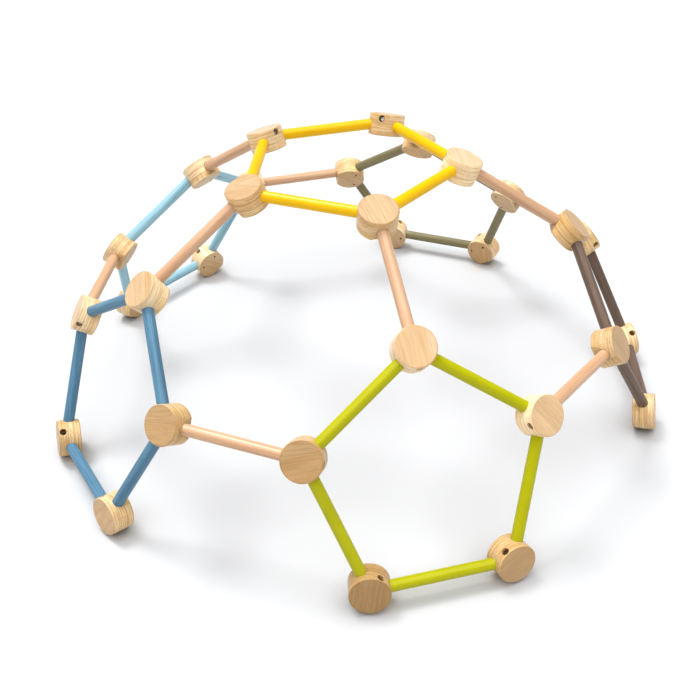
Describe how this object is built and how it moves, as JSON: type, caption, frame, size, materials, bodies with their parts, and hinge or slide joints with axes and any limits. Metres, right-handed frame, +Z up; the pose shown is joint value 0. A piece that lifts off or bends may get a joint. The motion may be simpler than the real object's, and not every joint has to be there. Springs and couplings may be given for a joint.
{
  "type": "dome climber",
  "caption": "Low climbing dome of round wooden rods joined by thick wooden hubs in coloured pentagons bolted together with plain struts.",
  "frame": {"origin": "on the floor, at the centre of the footprint", "axes": "+Z up, -Y towards the green pentagon, X = 0 is the mirror plane of the shape"},
  "size_m": [1.661, 1.594, 0.7146],
  "materials": {
    "hub_wood": "clear satin lacquer on laminated pine",
    "strut_wood": "clear satin lacquer on beech",
    "yellow_paint": "satin paint on beech",
    "green_paint": "satin paint on beech",
    "brown_stain": "satin stain on beech",
    "olive_stain": "satin stain on beech",
    "sky_stain": "satin stain on beech",
    "blue_stain": "satin stain on beech",
    "bolt_steel": "bright zinc plating",
    "screw_steel": "dark zinc plating",
    "insert_brass": "as turned"
  },
  "bodies": {
    "root": {"blue_apex_hub": "hub_wood", "blue_bottom_rod": "blue_stain", "blue_left_foot_hub": "hub_wood", "blue_left_side_hub": "hub_wood", "blue_right_foot_hub": "hub_wood", "blue_right_side_hub": "hub_wood", "blue_upper_rods": "blue_stain", "bolt_washers": "bolt_steel", "brown_apex_hub": "hub_wood", "brown_bottom_rod": "brown_stain", "brown_left_foot_hub": "hub_wood", "brown_left_side_hub": "hub_wood", "brown_right_foot_hub": "hub_wood", "brown_right_side_hub": "hub_wood", "brown_upper_rods": "brown_stain", "crown_hub_1": "hub_wood", "crown_hub_2": "hub_wood", "crown_hub_3": "hub_wood", "crown_hub_4": "hub_wood", "crown_hub_5": "hub_wood", "crown_rod_1": "yellow_paint", "crown_rod_2": "yellow_paint", "crown_rod_3": "yellow_paint", "crown_rod_4": "yellow_paint", "crown_rod_5": "yellow_paint", "green_apex_hub": "hub_wood", "green_bottom_rod": "green_paint", "green_left_foot_hub": "hub_wood", "green_left_side_hub": "hub_wood", "green_right_foot_hub": "hub_wood", "green_right_side_hub": "hub_wood", "green_upper_rods": "green_paint", "olive_apex_hub": "hub_wood", "olive_bottom_rod": "olive_stain", "olive_left_foot_hub": "hub_wood", "olive_left_side_hub": "hub_wood", "olive_right_foot_hub": "hub_wood", "olive_right_side_hub": "hub_wood", "olive_upper_rods": "olive_stain", "ring_strut_1": "strut_wood", "ring_strut_2": "strut_wood", "ring_strut_3": "strut_wood", "ring_strut_4": "strut_wood", "ring_strut_5": "strut_wood", "rod_screws": "screw_steel", "sky_apex_hub": "hub_wood", "sky_bottom_rod": "sky_stain", "sky_left_foot_hub": "hub_wood", "sky_left_side_hub": "hub_wood", "sky_right_foot_hub": "hub_wood", "sky_right_side_hub": "hub_wood", "sky_upper_rods": "sky_stain", "spoke_strut_1": "strut_wood", "spoke_strut_2": "strut_wood", "spoke_strut_3": "strut_wood", "spoke_strut_4": "strut_wood", "spoke_strut_5": "strut_wood", "strut_bolts": "bolt_steel", "threaded_inserts": "insert_brass"}
  },
  "joints": []
}
